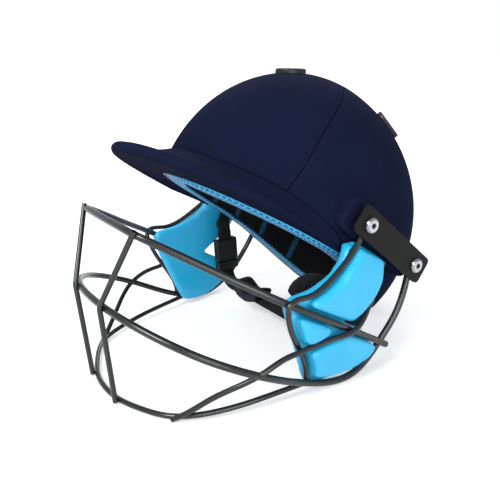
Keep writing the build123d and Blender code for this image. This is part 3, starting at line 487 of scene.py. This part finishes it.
cloth = cloth_material("navy_cloth", False)
seamed_cloth = cloth_material("navy_seamed", True)
mesh_blue = mesh_material()
pad_blue = pad_material()
wire_grey = wire_material()
webbing = plain_cloth_material("webbing_black", (0.006, 0.006, 0.007), (0.011, 0.011, 0.012), 1.3, 0.1)
lining_black = plain_cloth_material("lining_black", (0.006, 0.006, 0.007), (0.012, 0.012, 0.013), 0.9)
stitch_blue = stitch_material()
foam_grey = hard_material("foam_grey", (0.03, 0.03, 0.032), (0.05, 0.05, 0.052), 0.8, grain=600.0, depth=0.4)
shell_black = hard_material("shell_black", (0.012, 0.012, 0.013), (0.018, 0.018, 0.02), 0.4)
trim_black = hard_material("trim_black", (0.010, 0.010, 0.011), (0.016, 0.016, 0.018), 0.42, depth=0.15)
plate_black = hard_material(
    "plate_black", (0.003, 0.003, 0.003), (0.005, 0.005, 0.005), 0.5, grain=1300.0, depth=0.2, shine=0.25,
)
buckle_black = hard_material("buckle_black", (0.006, 0.006, 0.007), (0.010, 0.010, 0.011), 0.36, depth=0.15)
cup_black = hard_material("cup_black", (0.005, 0.005, 0.006), (0.009, 0.009, 0.010), 0.6, depth=0.3)
screw_steel = screw_material()
insert_brass = hard_material("insert_brass", (0.60, 0.42, 0.16), (0.72, 0.52, 0.22), 0.3, 1.0)


def dress(material, *names):
    """Gives CAD nodes their material."""
    for name in names:
        mesh = nodes[name].data
        mesh.materials.clear()
        mesh.materials.append(material)


def both_sides(name):
    """Names of a left and right pair."""
    return [name + "_l", name + "_r"]


# Pieces
def new_object(name, mesh, material):
    """Smooth-shaded object in the scene."""
    obj = bpy.data.objects.new(name, mesh)
    bpy.context.scene.collection.objects.link(obj)
    mesh.materials.clear()
    mesh.materials.append(material)
    for polygon in mesh.polygons:
        polygon.use_smooth = True
    return obj


def grid_mesh(name, rows, closed_rows=False, closed_columns=True):
    """Mesh over rows of places, each row a ring or a line."""
    mesh = bpy.data.meshes.new(name)
    width = len(rows[0])
    faces = []
    for i in range(len(rows) - (0 if closed_rows else 1)):
        below = (i + 1) % len(rows)
        for j in range(width - (0 if closed_columns else 1)):
            side = (j + 1) % width
            faces.append((i * width + j, i * width + side, below * width + side, below * width + j))
    mesh.from_pydata([tuple(p) for row in rows for p in row], [], faces)
    mesh.validate()
    return mesh


def bulged(value, power):
    """Power of a cosine or sine that keeps its sign, for fuller or flatter rounds."""
    return abs(value) ** power * (1 if value > 0 else -1)


def cap_ends(mesh, width, count):
    """Closes the first and last ring of a grid."""
    caps = bmesh.new()
    caps.from_mesh(mesh)
    caps.verts.ensure_lookup_table()
    for start in (0, width * (count - 1)):
        caps.faces.new([caps.verts[start + j] for j in range(width)])
    bmesh.ops.recalc_face_normals(caps, faces=caps.faces)
    caps.to_mesh(mesh)
    caps.free()


def store(mesh, name, values):
    """Keeps one value a vertex with the mesh."""
    layer = mesh.attributes.new(name, "FLOAT", "POINT")
    layer.data.foreach_set("value", values)


def finished(obj):
    """Replaces an object's mesh by what its modifiers make of it."""
    bpy.context.view_layer.update()
    graph = bpy.context.evaluated_depsgraph_get()
    mesh = bpy.data.meshes.new_from_object(obj.evaluated_get(graph))
    obj.modifiers.clear()
    obj.data = mesh
    for polygon in mesh.polygons:
        polygon.use_smooth = True
    return obj


def soft_copy(node, name, material, voxel, passes):
    """Copy of a CAD solid with its edges melted as moulded or padded goods have them."""
    obj = new_object(name, nodes[node].data.copy(), material)
    remesh = obj.modifiers.new("voxels", "REMESH")
    remesh.mode = "VOXEL"
    remesh.voxel_size = voxel * MM
    smooth = obj.modifiers.new("melt", "SMOOTH")
    smooth.factor = 0.5
    smooth.iterations = passes
    return finished(obj)


def cover():
    """Cloth over the crown: one skin from the top to the hem with its seams' distances."""
    crown_line = smooth_line(CROWN_SEAM)
    band_line = smooth_line(BAND_SEAM)
    turns, rings = 288, 110
    rows, crown_values, band_values = [], [], []
    for ring in range(rings + 1):
        share = 0.0015 + (1 - 0.0015) * ring / rings
        row = []
        for k in range(turns):
            turn = 2 * pi * k / turns
            hem = rim_point(turn, 0, CLOTH_HEM)
            lowest = atan2(hem.z / RISE, sqrt(1 - (hem.z / RISE) ** 2))
            height = pi / 2 - share * (pi / 2 - lowest)
            place = egg_point(turn, height, 0)
            row.append(worn(*place))
            crown_values.append(-side_distance(crown_line, place.y, place.z))
            band_values.append(side_distance(band_line, place.y, place.z))
        rows.append(row)
    mesh = grid_mesh("crown_cloth", rows)
    store(mesh, "crown_seam", crown_values)
    store(mesh, "band_seam", band_values)
    obj = new_object("crown_cloth", mesh, seamed_cloth)
    top = bmesh.new()
    top.from_mesh(mesh)
    top.verts.ensure_lookup_table()
    top.faces.new([top.verts[k] for k in reversed(range(turns))])
    bmesh.ops.recalc_face_normals(top, faces=top.faces)
    top.to_mesh(mesh)
    top.free()
    thick = obj.modifiers.new("thick", "SOLIDIFY")
    thick.thickness = CLOTH_THICK * MM
    thick.offset = -1
    finished(obj)
    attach(obj, "helmet")
    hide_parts("cover_front", "cover_rear", "cover_band")
    return obj


def seam_point(turn, shrink):
    """Point of the egg, drawn in by shrink, on the seam above the peak."""
    wide, tall, long = HALF_WIDTH - shrink, RISE - shrink, reach(turn, shrink)
    z = 0.0
    for step in range(16):
        k = sqrt(1 - (z / tall) ** 2)
        z = (z + between(BAND_SEAM, long * sin(turn) * k)) / 2
    return Vector((wide * cos(turn) * k, long * sin(turn) * k, z))


def bezier(a, b, c, steps):
    """Places along a quadratic curve, without its last."""
    return [a * (1 - t) ** 2 + b * 2 * t * (1 - t) + c * t * t for t in (k / steps for k in range(steps))]


def peak():
    """Padded peak: dished top, rolled rim and a lined underside, sewn on at its seam."""
    stations = 121
    rows, seam_values = [], []
    for k in range(stations):
        t = pi * k / (stations - 1)
        power = 2 / PEAK_SQUARENESS
        rim = Vector((
            PEAK_HALF_WIDTH * bulged(cos(t), power),
            -PEAK_ROOT - (PEAK_REACH - PEAK_ROOT) * sin(t) ** power, 0,
        ))
        ahead = -(rim.y + PEAK_ROOT) / (PEAK_REACH - PEAK_ROOT)
        rim.z = -PEAK_ROOT_DROP + (PEAK_ROOT_DROP - PEAK_TIP_DROP) * ahead**0.8
        rim.z += PEAK_TILT * rim.x * min(1, 3 * ahead)
        turn = -PEAK_END - (pi - 2 * PEAK_END) * k / (stations - 1)
        top = seam_point(turn, -0.1)
        low = rim_point(turn, 1.0, -0.4)
        thick = PEAK_ROLL_THIN + PEAK_ROLL_GROWTH * min(1, max(0, (ahead - 0.12) / 0.5)) ** 0.8
        outward = Vector((rim.x - low.x * 0.7, rim.y - low.y * 0.7, 0)).normalized()
        centre = rim - outward * thick + Vector((0, 0, thick))
        crest = centre + Vector((0, 0, thick * 0.96)) - outward * thick * 0.28
        drop = top.z - crest.z
        bend = top.lerp(crest, 0.38)
        bend.z = crest.z + drop * 0.22
        profile = [top - outward * 1.6 + Vector((0, 0, -0.4))]
        profile += bezier(top, bend, crest, 18)
        for step in range(15):
            angle = radians(106 - 190 * step / 14)
            profile.append(centre + outward * thick * cos(angle) + Vector((0, 0, thick * sin(angle))))
        tuck = profile[-1]
        inner = tuck.lerp(low, 0.06) + Vector((0, 0, 0.9 * min(1, thick / 4)))
        profile.append(inner)
        arch = tuck.lerp(low, 0.5) + Vector((0, 0, 2.0))
        profile += bezier(tuck.lerp(low, 0.09), arch, low, 14)[1:]
        profile.append(low)
        profile.append(low - outward * 2.0 + Vector((0, 0, 1.5)))
        far = 0.0
        last = profile[1]
        for place in profile:
            far += (place - last).length
            last = place
            seam_values.append(-far)
        rows.append([worn(*place) for place in profile])
    mesh = grid_mesh("peak_cloth", rows)
    store(mesh, "crown_seam", [99.0] * len(seam_values))
    store(mesh, "band_seam", seam_values)
    obj = new_object("peak_cloth", mesh, seamed_cloth)
    cap_ends(mesh, len(rows[0]), stations)
    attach(obj, "helmet")
    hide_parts("peak")
    return obj


def left_share(x):
    """Share that goes smoothly from none on the wearer's right to all on the left."""
    share = min(1, max(0, (x + BAND_EASE) / (2 * BAND_EASE)))
    return share * share * (3 - 2 * share)


def sweatband():
    """Mesh-covered roll that goes round the rim under the foam and lining."""
    turns, sides = 420, 40
    rows, along_values, around_values = [], [], []
    profile = []
    for i in range(sides):
        angle = 2 * pi * i / sides
        out, up = bulged(cos(angle), 0.8), bulged(sin(angle), 0.9)
        share = (1 - out) / 2
        middle = BAND_OUTER_LIFT + (BAND_INNER_LIFT - BAND_OUTER_LIFT) * share
        half = BAND_OUTER_HALF + (BAND_INNER_HALF - BAND_OUTER_HALF) * share
        profile.append((BAND_SHRINK - BAND_HALF_WIDE * out, middle + half * up))
    run = [0.0]
    for (s0, l0), (s1, l1) in zip(profile, profile[1:]):
        run.append(run[-1] + sqrt((s1 - s0) ** 2 + (l1 - l0) ** 2))
    travelled = 0.0
    last = None
    for k in range(turns):
        turn = 2 * pi * k / turns
        here = rim_point(turn, BAND_SHRINK, BAND_OUTER_LIFT)
        travelled += 0 if last is None else (here - last).length
        last = here
        tuck = BAND_TUCK * (1 - left_share(here.x))
        rows.append([worn(*rim_point(turn, shrink, lift + tuck)) for shrink, lift in profile])
        along_values += [travelled] * sides
        around_values += run
    mesh = grid_mesh("rim_roll", rows, closed_rows=True)
    store(mesh, "mesh_along", along_values)
    store(mesh, "mesh_around", around_values)
    obj = new_object("rim_roll", mesh, mesh_blue)
    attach(obj, "helmet")
    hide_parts("sweatband")
    return obj


def press_under(obj, wire, gap):
    """Sinks what lies on the outer side of a wire to just under it."""
    tree = BVHTree.FromObject(nodes[wire], bpy.context.evaluated_depsgraph_get())
    ring = [k * pi / 3 for k in range(6)]
    spots = [(0.0, 0.0)] + [(PRESS_MARGIN * MM * cos(a), PRESS_MARGIN * MM * sin(a)) for a in ring]
    for vertex in obj.data.vertices:
        side = 1 if vertex.co.x > 0 else -1
        starts = [Vector((0.0, vertex.co.y + y, vertex.co.z + z)) for y, z in spots]
        hits = [tree.ray_cast(start, Vector((side, 0, 0)))[0] for start in starts]
        reached = [side * hit.x for hit in hits if hit is not None]
        if reached and side * vertex.co.x > min(reached) - gap * MM:
            vertex.co.x = side * (min(reached) - gap * MM)


def swell(obj, amount):
    """Grows a mesh along its normals to make up for what smoothing took."""
    normals = [vertex.normal.copy() for vertex in obj.data.vertices]
    for vertex, normal in zip(obj.data.vertices, normals):
        vertex.co += normal * amount * MM


def melt(obj, passes):
    """Evens out a mesh a little more."""
    smooth = obj.modifiers.new("melt", "SMOOTH")
    smooth.factor = 0.5
    smooth.iterations = passes
    return finished(obj)


def eased_run(places, steps=9):
    """Points on a smooth line near the places, starting and ending on them."""
    line = list(places)
    for turn in range(3):
        finer = [line[0]]
        for a, b in zip(line, line[1:]):
            finer += [a * 0.75 + b * 0.25, a * 0.25 + b * 0.75]
        line = finer + [line[-1]]
    dense = []
    for a, b in zip(line, line[1:]):
        dense += [a + (b - a) * (i / steps) for i in range(steps)]
    return dense + [line[-1]]


def soft_tube(name, places, side, size, material):
    """Flattened soft tube along a run, ribbed across it, with rounded ends."""
    half_wide, half_thick, rib_depth, rib_pitch = size
    path = eased_run(places)
    around = 32
    total = sum((b - a).length for a, b in zip(path, path[1:])) / MM
    rows = []
    far = 0.0
    for k, place in enumerate(path):
        ahead = (path[min(k + 1, len(path) - 1)] - path[max(k - 1, 0)]).normalized()
        far += (place - path[k - 1]).length / MM if k else 0.0
        across = side.cross(ahead).normalized()
        over = ahead.cross(across).normalized()
        end = min(1.0, max(0.02, min(far, total - far) / half_wide))
        end = sqrt(1 - (1 - end) ** 2)
        rib = 1 + rib_depth * sin(2 * pi * far / rib_pitch)
        row = []
        for i in range(around):
            c, s = cos(2 * pi * i / around), sin(2 * pi * i / around)
            wide = half_wide * bulged(c, 0.7) * (0.7 + 0.3 * end)
            thick = half_thick * bulged(s, 0.8) * rib * end
            row.append(place + (across * wide + over * thick) * MM)
        rows.append(row)
    mesh = grid_mesh(name, rows)
    cap_ends(mesh, around, len(rows))
    obj = new_object(name, mesh, material)
    return obj


def ear_sleeve():
    """Ribbed elastic sleeve inside the left cheek pad."""
    places = [worn(*place) for place in SLEEVE_PATH]
    obj = soft_tube("ear_sleeve", places, Vector((1, 0, 0)), SLEEVE_SIZE, webbing)
    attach(obj, "chin_strap")
    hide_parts("ribbed_tab")


def strap_neck(side, sign):
    """Webbing sewn over the ring that the strap swings on."""
    x, y = NECK_PLACE
    places = [Vector((sign * x, y, z)) * MM for z in (*NECK_HEIGHTS, NECK_FOOT[side])]
    obj = soft_tube("strap_neck_" + side, places, Vector((1, 0, 0)), NECK_SIZE, webbing)
    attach(obj, "chin_strap")
    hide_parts("strap_eye_" + side)


def chin_cushion():
    """Folded soft chin cup, hollow on top and carried by the webbing."""
    places = [Vector(place) * MM for place in CUP_PATH]
    obj = soft_tube("chin_cushion", places, Vector((0, 0, 1)), CUP_SIZE, cup_black)
    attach(obj, "cup")
    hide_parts("chin_cup")


def draw_lining(obj):
    """Draws the head side of the lining's lower edge down over the band."""
    for vertex in obj.data.vertices:
        x, back, up = vertex.co / MM - EGG_CENTRE
        y = back * cos(LEAN) - up * sin(LEAN)
        z = back * sin(LEAN) + up * cos(LEAN)
        above = z + rim_drop(y)
        long = REAR_REACH if y > 0 else FRONT_REACH
        inside = 100 * (1 - sqrt((x / HALF_WIDTH) ** 2 + (y / long) ** 2 + (z / RISE) ** 2))
        fall = LINING_FALL * left_share(x) * min(1, max(0, (inside - LINING_FACE) / LINING_EASE))
        if above < LINING_RUN:
            z -= fall * (LINING_RUN - above) / LINING_RUN
            vertex.co = Vector(worn(x, y, z))


def soft_node(node, name, material, body, voxel, passes, wire=None):
    """Softened copy that stands for its CAD node, sunk where a wire lies on it."""
    obj = soft_copy(node, name, material, voxel, passes)
    if wire is not None:
        swell(obj, PAD_SWELL)
        press_under(obj, wire, 0.5)
        melt(obj, 3)
        press_under(obj, wire, 0.2)
    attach(obj, body)
    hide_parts(node)
    return obj


cover()
peak()
sweatband()
for side in ("l", "r"):
    foam, loop = "cheek_foam_" + side, "side_loop_" + side
    soft_node("cheek_pad_" + side, foam, pad_blue, "helmet", 0.9, 80, loop)
    soft_node("boss_cover_" + side, "boss_cloth_" + side, cloth, "helmet", 0.5, 14)
draw_lining(soft_node("lining_band", "lining_cloth", lining_black, "helmet", 1.8, 6))
soft_node("crown_pad", "crown_cushion", lining_black, "helmet", 1.8, 8)
soft_node("foam_liner", "foam_skin", foam_grey, "helmet", 2.2, 3)
chin_cushion()
strap_neck("r", -1)
strap_neck("l", 1)
ear_sleeve()
soft_node("chin_web", "chin_ribbon", webbing, "chin_strap", 0.5, 1)
soft_node("buckle_web", "buckle_ribbon", webbing, "chin_strap", 0.5, 1)

dress(shell_black, "hard_shell")
dress(stitch_blue, "stitch_bars")
dress(trim_black, "crown_button", "rear_vents")
dress(plate_black, *both_sides("side_plate"))
dress(screw_steel, "plate_screws")
dress(insert_brass, "boss_inserts")
dress(wire_grey, "top_bar", "middle_bar", "bottom_bar", *both_sides("front_post"))
dress(wire_grey, *both_sides("diagonal"), *both_sides("side_loop"))
dress(buckle_black, *both_sides("strap_lug"), *both_sides("strap_pin"), "buckle_socket", "buckle_plug")
dress(buckle_black, "prong_front", "prong_rear", "strap_slider")


# Floor, light and camera
def white_floor():
    """Pale floor that the camera sees as white but for the shadow."""
    material, n, links, shader = new_material("floor_paper")
    grain = noise(n, links, 80.0, 3.0)
    paper = ramp(n, links, grain, (0.3, (0.80, 0.80, 0.80)), (0.7, (0.82, 0.82, 0.82)))
    links.new(paper, shader.inputs["Base Color"])
    shader.inputs["Roughness"].default_value = 0.9
    seen = n.new("ShaderNodeLightPath")
    glow = n.new("ShaderNodeEmission")
    place = n.new("ShaderNodeNewGeometry")
    far = n.new("ShaderNodeVectorMath")
    far.operation = "LENGTH"
    links.new(place.outputs["Position"], far.inputs[0])
    away = math_node(n, links, "MULTIPLY_ADD", stepped(n, links, far.outputs["Value"], 0.35, 1.2), 0.55, 0.44)
    links.new(math_node(n, links, "MULTIPLY", seen.outputs["Is Camera Ray"], away), glow.inputs["Strength"])
    both = n.new("ShaderNodeAddShader")
    links.new(shader.outputs[0], both.inputs[0])
    links.new(glow.outputs[0], both.inputs[1])
    links.new(both.outputs[0], n["Material Output"].inputs["Surface"])
    bpy.ops.mesh.primitive_plane_add(size=14)
    floor = bpy.context.object
    floor.name = "floor"
    floor.data.materials.append(material)


def white_world():
    """Soft light from all round, and white where the camera looks past the floor."""
    world = bpy.data.worlds.new("studio")
    bpy.context.scene.world = world
    world.use_nodes = True
    n, links = world.node_tree.nodes, world.node_tree.links
    soft = n["Background"]
    soft.inputs["Color"].default_value = (0.93, 0.96, 1.0, 1)
    soft.inputs["Strength"].default_value = 0.5
    white = n.new("ShaderNodeBackground")
    white.inputs["Color"].default_value = (1, 1, 1, 1)
    seen = n.new("ShaderNodeLightPath")
    pick = n.new("ShaderNodeMixShader")
    links.new(seen.outputs["Is Camera Ray"], pick.inputs["Fac"])
    links.new(soft.outputs[0], pick.inputs[1])
    links.new(white.outputs[0], pick.inputs[2])
    links.new(pick.outputs[0], n["World Output"].inputs["Surface"])


def lamp(name, place, target, size, power):
    """Square soft box that faces a point."""
    data = bpy.data.lights.new(name, "AREA")
    data.shape = "SQUARE"
    data.size = size
    data.energy = power
    obj = bpy.data.objects.new(name, data)
    bpy.context.scene.collection.objects.link(obj)
    obj.location = place
    obj.rotation_euler = (Vector(target) - Vector(place)).to_track_quat("-Z", "Y").to_euler()


CAMERA_PLACE = Vector((395.8, -289.2, 138.2))   # from the egg's middle
CAMERA_TURN = radians(57.53)
CAMERA_FALL = radians(19.40)
CAMERA_ROLL = radians(-3.8)
LENS = 40.59


def camera():
    """Camera at the photograph's angle."""
    level = cos(CAMERA_FALL)
    forward = Vector((-sin(CAMERA_TURN) * level, cos(CAMERA_TURN) * level, -sin(CAMERA_FALL)))
    right = Vector((cos(CAMERA_TURN), sin(CAMERA_TURN), 0))
    up = right.cross(forward)
    across = right * cos(CAMERA_ROLL) + up * sin(CAMERA_ROLL)
    upright = up * cos(CAMERA_ROLL) - right * sin(CAMERA_ROLL)
    data = bpy.data.cameras.new("camera")
    data.lens = LENS
    data.sensor_width = 36
    data.clip_start = 0.01
    obj = bpy.data.objects.new("camera", data)
    bpy.context.scene.collection.objects.link(obj)
    turn = Matrix((across, upright, -forward)).transposed()
    obj.matrix_world = Matrix.Translation((EGG_CENTRE + CAMERA_PLACE) * MM) @ turn.to_4x4()
    bpy.context.scene.camera = obj


white_floor()
white_world()
lamp("key", (0.35, -1.6, 1.7), (0, 0, 0.12), 1.1, 36)
lamp("fill", (1.6, -0.5, 0.7), (0, 0, 0.1), 1.2, 13)
lamp("back", (-1.2, 1.2, 1.4), (0, 0, 0.12), 1.0, 16)
camera()
bpy.context.scene.view_settings.view_transform = "Standard"
